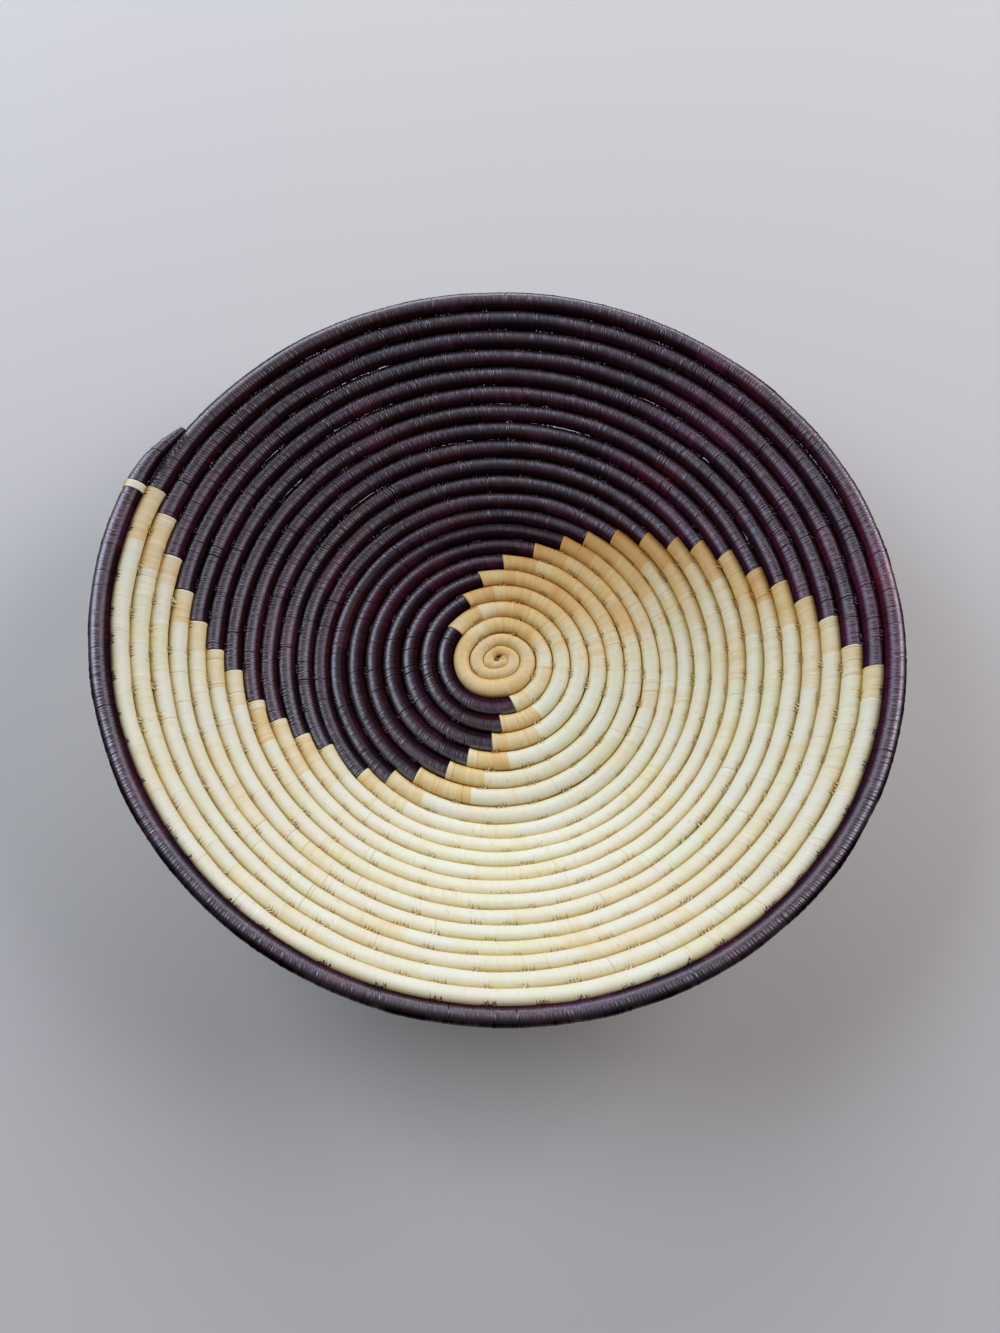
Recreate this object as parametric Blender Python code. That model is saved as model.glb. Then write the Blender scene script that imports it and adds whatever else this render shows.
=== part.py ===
"""Coiled basket bowl, in metres, +Z up, standing on z = 0 under the middle of its box.

A bundle of plant fibre is coiled from the middle of the bottom to the rim, clockwise seen from above.
It is wrapped all the way in raffia, in two colours that change along the coil, so that the changes
climb the wall as a stepped swirl. Each stretch of one colour is a sleeve round the one unbroken core.
"""

import math

import bmesh
import bpy

# The cord and its layers
CORD_DIAMETER = 0.0074  # wrapped cord, across the corners of its section
TURN_GAP = 0.0006  # between one turn and the next
WRAP_WALL = 0.0005  # raffia over the corners of the core
CORE_CLEARANCE = 0.0003  # between the core and its wraps
END_CLEARANCE = 0.0003  # between the ends of two wraps
REST_CUT = 0.00074  # the bottom turns are pressed flat by this much

# The bowl's form, followed from the middle of the bottom up the wall
BASE_RADIUS = 0.068
HEEL_RADIUS = 0.024
WALL_SLOPE = math.radians(37.5)

# Where the cord begins and ends, as a course and degrees clockwise from +X
EYE = 0.00175  # left open inside the first turn
START = (-1, 70)
START_DIAMETER = 0.003
START_TAPER = 2.35  # turns until the cord has its full diameter
CLOSED_END = 0.0009  # raffia closed over both ends of the core
RIM_TIE = (21, 197)
TIE_WIDTH = 0.0036
TAIL_END = (21, 210)
TAIL_DIAMETER = 0.0028
TAIL_POINTS = 4

# The pattern: from course 2 on, the degrees where each course turns dark and then natural again
FIRST_COURSE = 2
DARK_FROM = (73, 88, 94, 106, 113, 123, 130, 137, 149, 154, 159, 164, 171, 175, 180, 185, 190, 196)
NATURAL_FROM = (216, 242, 257, 271, 285, 295, 302, 310, 318, 325, 330, 336, 343, 348, 353, 358, 364, 368)
RIM_FROM = (20, 199)

# Facets
STATIONS = 24  # points on one turn
WRAP_SIDES = 6
CORE_SIDES = 4
FLAT_UP = math.radians(45)  # turns a four-sided section from its corner onto its side
SMOOTH_ANGLE = math.radians(65)
WELD = 1e-6

PITCH = CORD_DIAMETER + TURN_GAP
CORD_RADIUS = CORD_DIAMETER / 2
REST_HEIGHT = CORD_RADIUS - REST_CUT
FULL_CIRCLE = 360

DYED = ("dyed_raffia", (0.045, 0.022, 0.034), 0.42)
NATURAL = ("natural_raffia", (0.78, 0.62, 0.33), 0.55)
FIBRE = ("core_fibre", (0.42, 0.33, 0.18), 0.8)


def turn_at(course, degrees):
    """Turns along the coil, clockwise from where course 0 crosses +X."""
    return course + degrees / FULL_CIRCLE


START_TURN = turn_at(*START)
TIE_TURN = turn_at(*RIM_TIE)
END_TURN = turn_at(*TAIL_END)
FULL_TURN = START_TURN + START_TAPER


def run_at(turn):
    """From the middle of the bottom up the bowl's curve. Each turn adds the cord's own diameter there
    and the gap, so that the turns lie closer together where the cord starts thin."""
    start_run = (EYE + START_DIAMETER) / 2
    taper_run = ((START_DIAMETER + CORD_DIAMETER) / 2 + TURN_GAP) * START_TAPER
    growth = (CORD_DIAMETER - START_DIAMETER) / START_TAPER
    return start_run + taper_run + (turn - FULL_TURN) * PITCH + growth * max(FULL_TURN - turn, 0) ** 2 / 2


def meridian(turn):
    """Radius, height and slope of the cord's centre: a flat bottom, a rounded heel, a straight wall."""
    run = run_at(turn)
    slope = min(max((run - BASE_RADIUS) / HEEL_RADIUS, 0), WALL_SLOPE)
    straight = max(run - BASE_RADIUS - HEEL_RADIUS * WALL_SLOPE, 0)
    radius = min(run, BASE_RADIUS) + HEEL_RADIUS * math.sin(slope) + straight * math.cos(WALL_SLOPE)
    height = HEEL_RADIUS * (1 - math.cos(slope)) + straight * math.sin(WALL_SLOPE)
    return radius, height, slope


def turns_along(turn, distance):
    """A distance along the cord at this turn, as a share of a turn."""
    return distance / (2 * math.pi * meridian(turn)[0])


def clear_of_stations(turn):
    """Two wraps never meet right at a station, where the chords bend and their square ends would cross."""
    nearest = round(turn * STATIONS) / STATIONS
    keep = turns_along(turn, CORD_RADIUS * math.tan(math.pi / STATIONS) + END_CLEARANCE)
    if abs(turn - nearest) >= keep:
        return turn
    return nearest + math.copysign(keep, turn - nearest)


def cord_diameter(turn):
    """Full for most of its length, thin where it starts at the middle and where it ends on the rim."""
    start = START_DIAMETER + (CORD_DIAMETER - START_DIAMETER) * (turn - START_TURN) / START_TAPER
    tail = TAIL_DIAMETER + (CORD_DIAMETER - TAIL_DIAMETER) * (END_TURN - turn) / (END_TURN - TIE_TURN)
    return min(start, tail, CORD_DIAMETER)


def reach(degrees):
    """How far the outermost turn stands out from the coil's axis on this side."""
    turn = END_TURN - (END_TURN - turn_at(0, degrees)) % 1
    radius, _, slope = meridian(turn)
    return radius + CORD_RADIUS * math.cos(slope)


# A spiral reaches further on some sides, so its axis stands beside the middle of the box
AXIS_X = (reach(180) - reach(0)) / 2
AXIS_Y = (reach(90) - reach(270)) / 2


def station_point(step):
    """A point of the coil's even spiral, where one chord of the cord meets the next."""
    radius, height, _ = meridian(step / STATIONS)
    angle = -2 * math.pi * step / STATIONS
    x = AXIS_X + radius * math.cos(angle)
    y = AXIS_Y + radius * math.sin(angle)
    return x, y, REST_HEIGHT + height


def centre_point(turn):
    """Between two stations the cord runs along their chord, so that neighbouring turns stay parallel.
    Its thin tail leans in on the turn below it."""
    step = turn * STATIONS
    before = math.floor(step)
    share = step - before
    near, far = station_point(before), station_point(before + 1)
    x, y, z = (a + (b - a) * share for a, b in zip(near, far))
    slope = meridian(turn)[2]
    lean = 0.0
    if turn > TIE_TURN:
        lean = (CORD_DIAMETER - cord_diameter(turn)) / 2
    angle = -2 * math.pi * turn
    x -= lean * math.cos(slope) * math.cos(angle)
    y -= lean * math.cos(slope) * math.sin(angle)
    return x, y, z - lean * math.sin(slope)


def stops(first, last):
    """Where the tube has a point: its two ends, the stations between them, and some along the tail."""
    found = [first, last]
    step = math.floor(first * STATIONS) + 1
    while step / STATIONS < last:
        found.append(step / STATIONS)
        step += 1
    for i in range(1, TAIL_POINTS):
        turn = TIE_TURN + (END_TURN - TIE_TURN) * i / TAIL_POINTS
        if first < turn < last:
            found.append(turn)
    return sorted(found)


def wrap_radius(turn):
    return cord_diameter(turn) / 2


def passage_radius(turn):
    """To the corners of the square passage, whose corners keep the wrap's wall from the six-sided outside."""
    half_side = (math.sqrt(3) * wrap_radius(turn) - 2 * WRAP_WALL) / (1 + math.sqrt(3))
    return half_side * math.sqrt(2)


def core_radius(turn):
    return passage_radius(turn) - CORE_CLEARANCE * math.sqrt(2)


def new_collection(name):
    collection = bpy.data.collections.new(name)
    bpy.context.scene.collection.children.link(collection)
    return collection


def new_material(name, colour, roughness):
    material = bpy.data.materials.new(name)
    material.use_nodes = True
    shader = material.node_tree.nodes["Principled BSDF"]
    shader.inputs["Base Color"].default_value = (*colour, 1)
    shader.inputs["Roughness"].default_value = roughness
    shader.inputs["Metallic"].default_value = 0
    return material


def cord_tube(name, first, last, radius_at, sides, turned, collection):
    """A mesh tube along the coil from one turn to another, its section tilted with the wall's slope,
    so that the six-sided cord has corners towards its neighbours and flats inside and outside the bowl."""
    curve = bpy.data.curves.new(name, "CURVE")
    curve.dimensions = "3D"
    curve.twist_mode = "Z_UP"
    curve.bevel_depth = CORD_RADIUS
    curve.bevel_resolution = sides // 2 - 2
    curve.use_fill_caps = True
    turns = stops(first, last)
    spline = curve.splines.new("POLY")
    spline.points.add(len(turns) - 1)
    for point, turn in zip(spline.points, turns):
        point.co = (*centre_point(turn), 1)
        point.radius = radius_at(turn) / CORD_RADIUS
        point.tilt = turned - meridian(turn)[2]
    guide = bpy.data.objects.new(name + "_guide", curve)
    bpy.context.scene.collection.objects.link(guide)
    bpy.context.view_layer.update()

    mesh = bpy.data.meshes.new_from_object(guide.evaluated_get(bpy.context.evaluated_depsgraph_get()))
    mesh.name = name
    weld = bmesh.new()
    weld.from_mesh(mesh)
    bmesh.ops.remove_doubles(weld, verts=weld.verts, dist=WELD)
    weld.to_mesh(mesh)
    weld.free()
    mesh.shade_smooth()
    mesh.set_sharp_from_angle(angle=SMOOTH_ANGLE)

    tube = bpy.data.objects.new(name, mesh)
    tube.matrix_world = guide.matrix_world
    collection.objects.link(tube)
    bpy.data.objects.remove(guide)
    bpy.data.curves.remove(curve)
    return tube


def hide_cutter(cutter):
    cutter.hide_render = True
    cutter.display_type = "WIRE"


def cut(target, cutter):
    modifier = target.modifiers.new(cutter.name, "BOOLEAN")
    modifier.operation = "DIFFERENCE"
    modifier.object = cutter


def floor_cutter(collection):
    """Everything below the plane that the bowl stands on."""
    depth = CORD_DIAMETER
    side = 2 * reach(0)
    mesh = bpy.data.meshes.new("floor_cutter")
    box = bmesh.new()
    bmesh.ops.create_cube(box, size=1)
    bmesh.ops.scale(box, verts=box.verts, vec=(side, side, depth))
    bmesh.ops.translate(box, verts=box.verts, vec=(0, 0, -depth / 2))
    box.to_mesh(mesh)
    box.free()
    cutter = bpy.data.objects.new("floor_cutter", mesh)
    collection.objects.link(cutter)
    hide_cutter(cutter)
    return cutter


def wrap_list():
    """Every sleeve along the cord: its name, its finish, and the turns where it starts and ends."""
    changes = []
    for i, (dark, natural) in enumerate(zip(DARK_FROM, NATURAL_FROM)):
        course = FIRST_COURSE + i
        changes.append((f"dark_wrap_{i + 1:02d}", DYED, turn_at(course, dark)))
        changes.append((f"natural_wrap_{i + 1:02d}", NATURAL, turn_at(course, natural)))
    changes.append(("rim_wrap", DYED, turn_at(*RIM_FROM)))
    changes.append(("rim_tie", NATURAL, TIE_TURN))
    changes.append(("rim_tail_wrap", DYED, TIE_TURN + turns_along(TIE_TURN, TIE_WIDTH)))
    names = ["centre_wrap"] + [name for name, _, _ in changes]
    finishes = [NATURAL] + [finish for _, finish, _ in changes]
    meets = [clear_of_stations(turn) for _, _, turn in changes]
    return list(zip(names, finishes, [START_TURN] + meets, meets + [END_TURN]))


def make_wraps(parts, passage, floor, materials):
    for name, finish, start, end in wrap_list():
        first = start if start == START_TURN else start + turns_along(start, END_CLEARANCE / 2)
        last = end if end == END_TURN else end - turns_along(end, END_CLEARANCE / 2)
        sleeve = cord_tube(name, first, last, wrap_radius, WRAP_SIDES, 0, parts)
        sleeve.data.materials.append(materials[finish[0]])
        cut(sleeve, passage)
        if min(vertex.co.z for vertex in sleeve.data.vertices) < 0:
            cut(sleeve, floor)


def square_tube(name, inset, radius_at, collection):
    """The core or its passage: it stops short of both closed ends of the wraps."""
    first = START_TURN + turns_along(START_TURN, CLOSED_END + inset)
    tail_middle = (TIE_TURN + END_TURN) / 2
    last = tail_middle - turns_along(tail_middle, inset)
    return cord_tube(name, first, last, radius_at, CORE_SIDES, FLAT_UP, collection)


def least_gap():
    """The least gap between one turn and the next, measured on points along the chords."""
    least = PITCH
    samples = 4 * STATIONS
    for i in range(int((END_TURN - 1 - START_TURN) * samples)):
        turn = START_TURN + i / samples
        here = centre_point(turn)
        for j in range(-samples // 8, samples // 8 + 1):
            beside = turn + 1 + j / samples
            if beside > END_TURN:
                continue
            apart = math.dist(here, centre_point(beside))
            least = min(least, apart - wrap_radius(turn) - wrap_radius(beside))
    return least


def build():
    for old in list(bpy.data.objects):
        bpy.data.objects.remove(old)
    parts = new_collection("coiled_basket_bowl")
    cutters = new_collection("cutters")
    materials = {finish[0]: new_material(*finish) for finish in (DYED, NATURAL, FIBRE)}

    passage = square_tube("core_passage", 0, passage_radius, cutters)
    hide_cutter(passage)
    core = square_tube("core_bundle", END_CLEARANCE, core_radius, parts)
    core.data.materials.append(materials[FIBRE[0]])
    make_wraps(parts, passage, floor_cutter(cutters), materials)
    print(f"least gap between turns: {least_gap() * 1000:.2f} mm")


build()
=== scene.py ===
"""Looks of the coiled basket bowl: raffia wound strip by strip round the coil, and sewn turn to turn."""

import math

import bmesh
import bpy
import numpy as np
from mathutils import Matrix, Vector


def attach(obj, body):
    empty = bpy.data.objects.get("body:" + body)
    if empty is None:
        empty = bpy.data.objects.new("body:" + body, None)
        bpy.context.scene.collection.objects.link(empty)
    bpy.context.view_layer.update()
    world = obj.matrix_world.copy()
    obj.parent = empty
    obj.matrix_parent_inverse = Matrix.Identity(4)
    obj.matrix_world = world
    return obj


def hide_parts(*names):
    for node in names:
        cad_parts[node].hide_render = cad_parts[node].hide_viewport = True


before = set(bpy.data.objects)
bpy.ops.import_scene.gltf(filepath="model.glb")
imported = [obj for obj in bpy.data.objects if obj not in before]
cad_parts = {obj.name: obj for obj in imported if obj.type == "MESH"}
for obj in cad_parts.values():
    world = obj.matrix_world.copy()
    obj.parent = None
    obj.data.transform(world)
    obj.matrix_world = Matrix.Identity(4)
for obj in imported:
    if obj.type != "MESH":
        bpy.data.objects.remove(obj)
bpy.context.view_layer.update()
random = np.random.default_rng(7)

# The coil, as the solids have it, in metres, turns and degrees
CORD_DIAMETER = 0.0074
TURN_GAP = 0.0006
REST_CUT = 0.00074
BASE_RADIUS = 0.068
HEEL_RADIUS = 0.024
WALL_SLOPE = math.radians(37.5)
EYE = 0.00175
START = (-1, 70)
START_DIAMETER = 0.003
START_TAPER = 2.35
RIM_TIE = (21, 197)
TIE_WIDTH = 0.0036
TAIL_END = (21, 210)
PITCH = CORD_DIAMETER + TURN_GAP
REST_HEIGHT = CORD_DIAMETER / 2 - REST_CUT
FULL_CIRCLE = 360
# no point on the cord lies lower, and its length is measured at so many places
LEAST_HEIGHT = 0.00002
DISTANCE_STEPS = 16000

# The pattern: from course 2 on, the degrees where each course turns dark and then natural again
FIRST_COURSE = 2
DARK_FROM = (73, 88, 94, 106, 113, 123, 130, 137, 149, 154, 159, 164, 171, 175, 180, 185, 190, 196)
NATURAL_FROM = (216, 242, 257, 271, 285, 295, 302, 310, 318, 325, 330, 336, 343, 348, 353, 358, 364, 368)
RIM_FROM = (20, 199)

# The wrapped cord in section: its turns press on each other, and it is a little flatter than it is wide
HALF_WIDTH = 0.00412
HALF_THICKNESS = 0.00368
SQUARENESS = 2.08
CORD_SIDES = 14

# The cord's tip curls on inside the solid's eye, and its end on the rim is thinner than the solid's
CURL = 0.33
TIP_SWELL = 0.5
TIP_SWELL_TURNS = 0.7
# The rim's last stretch is slimmer, and thins from its tie to its laced end, a little off the turn before
SLIM_FROM = (21, 150)
SLIM_SHARE = 0.92
STAND_OFF = 0.0007
TAIL_END_SHARE = 0.26
TAIL_CURVE = 1.5
# A knot of strips closes the bottom of the eye
KNOT_RADIUS = 0.0026
KNOT_HEIGHTS = (0.0003, 0.0021)
KNOT_TONE = 0.8
KNOT_CROWN = 0.2
KNOT_SEGMENTS = (24, 12)

# What the hands made of the even spiral: an oval whorl, an oval rim and a cord that wanders
WHORL_HEADING = math.radians(12)
WHORL_REACH = 0.014
WHORL_STRETCH = 0.24
WHORL_SQUEEZE = 0.09
WHORL_LOBES = ((3, 0.035, math.radians(95)), (5, 0.02, math.radians(20)))
RIM_HEADING = math.radians(-29)
RIM_OVAL = 0.0086
RIM_OVAL_POWER = 4
# how far the cord wanders sideways and upwards, how unevenly thick it is, and every how many metres
WANDER = 0.00013
WANDER_STEPS = (0.021, 0.017)
GIRTH = 0.018
GIRTH_STEP = 0.011
# and the rings lie a little off their middle: by radius, how far outwards, towards the front and the right
RING_RADII = (0.008, 0.018, 0.035, 0.050, 0.075, 0.100, 0.122, 0.136, 0.146, 0.156)
RING_OUT = (0, 0, 0, 0, 0, 0.0006, 0.0006, 0.0004, 0.0006, 0)
RING_FORWARD = (0, 0.0010, 0.0010, 0.0015, 0.0013, 0.0016, 0.0017, 0.0009, 0.0006, 0.0003)
RING_RIGHT = (0, 0.0003, 0.0006, 0.0005, 0.0004, 0.0001, 0.0002, 0.0008, 0.0012, 0.0014)
# where the end of the rim is laced down, the wall bulges
SHOULDER_HEADING = math.radians(160)
SHOULDER_SPREAD = math.radians(24)
SHOULDER = 0.012
SHOULDER_POWER = 6

# Slits between dark turns on the back wall, where light comes through
PARTINGS = 30
PARTING_COURSES = (6, 19)
PARTING_FROM = 212
PARTING_WIDTH = 0.00028
PARTING_LENGTHS = (0.0006, 0.007)
# degrees left free before the natural strips
PARTING_CLEARANCE = 8
# how quickly a slit closes round the cord, and along it
PARTING_FLANK = 1.5
PARTING_FADE = (1.5, 2)

# Strips of raffia, and the strands that they are wound from
STRIP_WIDTH = 0.00125
STRIP_WIDTH_SHARES = (0.65, 1.35)
STRIP_SLANT = 0.15
STRIP_PROFILE = ((0.0, -0.00002), (0.2, 0.00002), (0.5, 0.00002), (0.8, 0))
DARK_RELIEF = 2
# where a wrap ends, its strips dive this far into the cord
END_DIVE = 0.0007
STRAND_LENGTHS = (0.012, 0.024)
END_STRANDS = (0.013, 0.020)
LAST_STRAND_REACH = 1.4 * END_STRANDS[1]
END_TONES = (0.3, 0.66)
STRAND_TONES = (1.1, 8)
RIPEST_STRAND = 0.26
TINT_SPREAD = 0.45
TONE_SPREAD = 0.05
# on natural and on dyed strips
LIFT_SPREADS = (0.00002, 0.00004)
# the middle's strands are ripe; those on the right back of the bowl are riper too, partly their own tone and
# partly painted golden shade
MIDDLE_RIPENESS = ((0.135, 0.62), (0.150, 0.0))
MIDDLE_SHARES = (0.9, 1)
RIPE_SHADE_HEADING = math.radians(60)
RIPENESS_AND_SHADE = 0.65
RIPE_SHADE_POWER = 2
# dyed strands vary more than natural ones, and are plum on the right and a little so on the rim
DARK_TONE_SHARE = 2
RIM_PLUM = 0.1
PLUM_HEADING = math.radians(10)
PLUM = 0.4
PLUM_POWER = 3
# Places where the dye took lighter: right of and behind the bowl's middle, and how wide
LIGHT_DYE = ((-0.095, 0.002, 0.016), (0.014, 0.112, 0.010), (0.095, 0.098, 0.012), (-0.062, 0.098, 0.009))
LIGHT_DYE_TONE = 0.6
# Some strands start with a lift that dies away. A natural wrap is lifted at each end too, and paler there
JOIN_CHANCE = 0.5
JOIN_LIFT = 0.00018
JOIN_REACH = 0.003
JOIN_SHARES = (0.3, 1)
JOIN_SHOWN = 0.5
END_LIFT = 0.00016
END_REACH = 0.002
PALE_END = 0.05
PALE_END_LENGTH = 0.0015
TIE_LIFT = 2 * JOIN_LIFT
# Edges between strips, on natural and on dyed ones: the share that is open, and how strongly they show
OPEN_EDGES = (0.012, 0.05)
EDGE_SHARES = (0.25, 0.8)
EDGE_SPREAD = (1.0, 4.0)
OPEN_DEPTH = 0.00016
OPEN_SHARES = (0.4, 1)
NOTCHES = 0.024
NOTCH_DEPTH = 0.00055
RIM_EDGES = 0.35

# Stitches: bunches of strips that pass through the turn before
FIRST_STITCH = 2.2
BUNCH_STEPS = (0.007, 0.020)
BUNCH_STRIPS = (2, 5)
SLIT_DEPTH = 0.00045
SLIT_SHARES = (0.3, 1)
# how far a slit lowers the crown of its strips, which paints shade into the slit
SLIT_SHADE = 3
# how steeply slits deepen round the cord, towards the turn before and towards the turn after
INNER_SLIT_SLOPE = (4, 2.6)
OUTER_SLIT_SLOPE = (5, 3.4)
STITCH_WIDTH = 0.6
RIM_STITCH_WIDTH = 0.45
STITCH_THICKNESS = 0.00019
STITCH_SECTION = ((-0.5, -1), (-0.4, -0.1), (0, 0.15), (0.4, -0.1), (0.5, -1))
# along its path: degrees round its own turn (0) or the turn before (1), and its height over the strips
INSIDE_PATH = ((0, 128, -1.2), (0, 140, 0.1), (0, 152, 0.6), (1, 26, 0.7), (1, 34, 0.2), (1, 43, -1.6))
OUTSIDE_PATH = ((0, -131, -1.2), (0, -143, 0.3), (0, -155, 0.8), (1, -28, 0.8), (1, -38, 0.4), (1, -48, -1.4))
# stitches take a riper tone than their strips, which on natural strips is painted shade
STITCH_SHADE = 0.3
STITCH_TONE_SPREAD = 0.06
STITCH_SKEW = 0.0003
STITCH_RISE = (0.4, 1.0)
STITCH_REACH_DEGREES = 4
# the crown value of a stitch's sides and of its top: 1 is a strip's crest and -1 the depth of a slit; the
# dark sides paint shade beside each stitch
STITCH_CROWNS = (-0.8, 0.4)
# The lacing that ties the thin end of the rim to the turn before
LACE_PATH = ((0, 84, -1.0), (0, 108, 0.8), (0, 140, 1.9), (1, 36, 2.0), (1, 52, 0.9), (1, 66, -1.4))
# a flat band of black strips under the lacing loops, which paints the deep shade of the groove there
LACE_SHADE_BAND = ((0, 100, -1.0), (0, 125, 0.1), (0, 150, 0.2), (1, 30, 0.2), (1, 40, 0.1), (1, 50, -1.0))
LACE_FROM = 0.1
LACE_THICKNESS = 0.0004
LACE_WIDTH = 0.4
LACE_SHADE_BAND_WIDTH = 1.1

# Loose ends of fibre that stand off the wraps
FIBRES = 46
FIBRE_THICKNESS = 0.00008
FIBRE_LENGTHS = (0.002, 0.009)
FIBRE_RISE = (0.0002, 0.0016)
FIBRE_STARTS = (50, 130)
FIBRE_TAPER = 0.6
FIBRE_CURVE = 1.5
FIBRE_STATIONS = 7
FIBRE_SIDES = 3

# The bundle of stalks inside the wraps
CORE_LOBES = 7
CORE_SIDES = 14
CORE_STEP = 0.0035
CORE_START = 0.0012
CORE_GIRTH = 0.66
CORE_LOBE_DEPTH = 0.1


def turn_at(course, degrees):
    return course + degrees / FULL_CIRCLE


START_TURN = turn_at(*START)
TIP_TURN = START_TURN - CURL
FULL_TURN = START_TURN + START_TAPER
TIE_TURN = turn_at(*RIM_TIE)
END_TURN = turn_at(*TAIL_END)


def run_at(turn):
    """From the middle of the bottom up the bowl's curve, for one turn or an array of them."""
    start_run = (EYE + START_DIAMETER) / 2
    taper_run = ((START_DIAMETER + CORD_DIAMETER) / 2 + TURN_GAP) * START_TAPER
    growth = (CORD_DIAMETER - START_DIAMETER) / START_TAPER
    full_run = start_run + taper_run + (turn - FULL_TURN) * PITCH
    return full_run + growth * np.maximum(FULL_TURN - turn, 0) ** 2 / 2


def meridian(turn):
    """Radius, height and slope of the cord's centre."""
    run = run_at(turn)
    slope = np.clip((run - BASE_RADIUS) / HEEL_RADIUS, 0, WALL_SLOPE)
    straight = np.maximum(run - BASE_RADIUS - HEEL_RADIUS * WALL_SLOPE, 0)
    radius = np.minimum(run, BASE_RADIUS) + HEEL_RADIUS * np.sin(slope) + straight * math.cos(WALL_SLOPE)
    height = HEEL_RADIUS * (1 - np.cos(slope)) + straight * math.sin(WALL_SLOPE)
    return radius, height, slope


def reach(degrees):
    """How far out the last turn lies at these degrees."""
    turn = END_TURN - (END_TURN - turn_at(0, degrees)) % 1
    radius, _, slope = meridian(turn)
    return radius + CORD_DIAMETER / 2 * np.cos(slope)


AXIS_X = (reach(180) - reach(0)) / 2
AXIS_Y = (reach(90) - reach(270)) / 2
RIM_RADIUS = float(meridian(END_TURN)[0])
TIE_END_TURN = TIE_TURN + TIE_WIDTH / (2 * math.pi * RIM_RADIUS)

# Distance along the cord against turns
FINE_TURNS = np.linspace(TIP_TURN, END_TURN, DISTANCE_STEPS)
FINE_STEPS = np.hypot(2 * math.pi * meridian(FINE_TURNS)[0], PITCH) * (FINE_TURNS[1] - FINE_TURNS[0])
FINE_DISTANCES = np.concatenate([[0], np.cumsum((FINE_STEPS[1:] + FINE_STEPS[:-1]) / 2)])
CORD_LENGTH = FINE_DISTANCES[-1]


def distance_at(turn):
    return np.interp(turn, FINE_TURNS, FINE_DISTANCES)


def turn_of(distance):
    return np.interp(distance, FINE_DISTANCES, FINE_TURNS)


def drift(step, size):
    """A smooth random wander along the cord, with a new aim every step."""
    aims = random.normal(0, size, int(CORD_LENGTH / step) + 2)

    def value(distance):
        # a hair before the last aim, so that another one always follows
        place_along = np.clip(distance / step, 0, len(aims) - 1.001)
        before = place_along.astype(int)
        share = place_along - before
        share = share * share * (3 - 2 * share)
        return aims[before] * (1 - share) + aims[before + 1] * share

    return value


side_drift = drift(WANDER_STEPS[0], WANDER)
up_drift = drift(WANDER_STEPS[1], WANDER)
girth_drift = drift(GIRTH_STEP, GIRTH)


def thickness_share(turn):
    """Thin where the cord starts in the middle and where it ends on the rim."""
    start_share = START_DIAMETER / CORD_DIAMETER
    start = start_share + (1 - start_share) * (turn - START_TURN) / START_TAPER
    start = start * (1 + TIP_SWELL * np.clip(1 - (turn - TIP_TURN) / TIP_SWELL_TURNS, 0, 1))
    slim = np.interp(turn, (turn_at(*SLIM_FROM), TIE_TURN), (1, SLIM_SHARE))
    into_tail = np.clip((turn - TIE_END_TURN) / (END_TURN - TIE_END_TURN), 0, 1)
    tail = slim + (TAIL_END_SHARE - slim) * into_tail ** TAIL_CURVE
    return np.minimum(np.minimum(start, tail), 1)


def stretched(x, y, heading, along_share, across_share):
    """Places drawn out along a heading and across it."""
    along = (x * math.cos(heading) + y * math.sin(heading)) * (1 + along_share)
    across = (y * math.cos(heading) - x * math.sin(heading)) * (1 + across_share)
    new_x = along * math.cos(heading) - across * math.sin(heading)
    new_y = across * math.cos(heading) + along * math.sin(heading)
    return new_x, new_y


def hand_shaped(x, y):
    """The even spiral's place in the bowl made by hand, a little oval in its whorl and at its rim."""
    radius = np.hypot(x, y)
    whorl = np.exp(-((radius / WHORL_REACH) ** 2))
    angle = np.arctan2(y, x)
    swell = 1 + whorl * sum(size * np.cos(count * (angle - heading)) for count, size, heading in WHORL_LOBES)
    from_shoulder = (angle - SHOULDER_HEADING + math.pi) % (2 * math.pi) - math.pi
    near_shoulder = np.exp(-((from_shoulder / SHOULDER_SPREAD) ** 2))
    swell = swell + SHOULDER * (radius / RIM_RADIUS) ** SHOULDER_POWER * near_shoulder
    swell = swell + np.interp(radius, RING_RADII, RING_OUT) / np.maximum(radius, RING_RADII[0])
    x, y = x * swell, y * swell
    rim = RIM_OVAL * (radius / RIM_RADIUS) ** RIM_OVAL_POWER
    x, y = stretched(x, y, WHORL_HEADING, WHORL_STRETCH * whorl, -WHORL_SQUEEZE * whorl)
    x, y = stretched(x, y, RIM_HEADING, rim, -rim)
    return x + np.interp(radius, RING_RADII, RING_RIGHT), y - np.interp(radius, RING_RADII, RING_FORWARD)


def place(distance, side, up):
    """From the straightened cord (along it, towards the rim, towards the bowl's inside) to the bowl."""
    turn = turn_of(distance)
    radius, height, slope = meridian(turn)
    stand_off = np.interp(turn, (TIE_TURN, (TIE_TURN + END_TURN) / 2, END_TURN), (0, STAND_OFF, 0))
    lean = np.where(turn > turn_at(*SLIM_FROM), (1 - thickness_share(turn)) * HALF_WIDTH, 0)
    side = side + stand_off - lean + side_drift(distance)
    up = up + up_drift(distance)
    angle = -2 * math.pi * turn
    radius = radius + side * np.cos(slope) - up * np.sin(slope)
    height = REST_HEIGHT + height + side * np.sin(slope) + up * np.cos(slope)
    x, y = hand_shaped(radius * np.cos(angle), radius * np.sin(angle))
    return np.stack([AXIS_X + x, AXIS_Y + y, np.maximum(height, LEAST_HEIGHT)], axis=-1)


def section(around, distance, lift):
    """Sideways and upwards from the cord's centre to its surface, at an angle round it."""
    across, over = np.cos(around), np.sin(around)
    wide = np.abs(across / HALF_WIDTH) ** SQUARENESS
    thick = np.abs(over / HALF_THICKNESS) ** SQUARENESS
    size = (wide + thick) ** (-1 / SQUARENESS)
    size = size * thickness_share(turn_of(distance)) * (1 + girth_drift(distance)) + lift
    return size * across, size * over


# Strips along the whole cord


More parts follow.
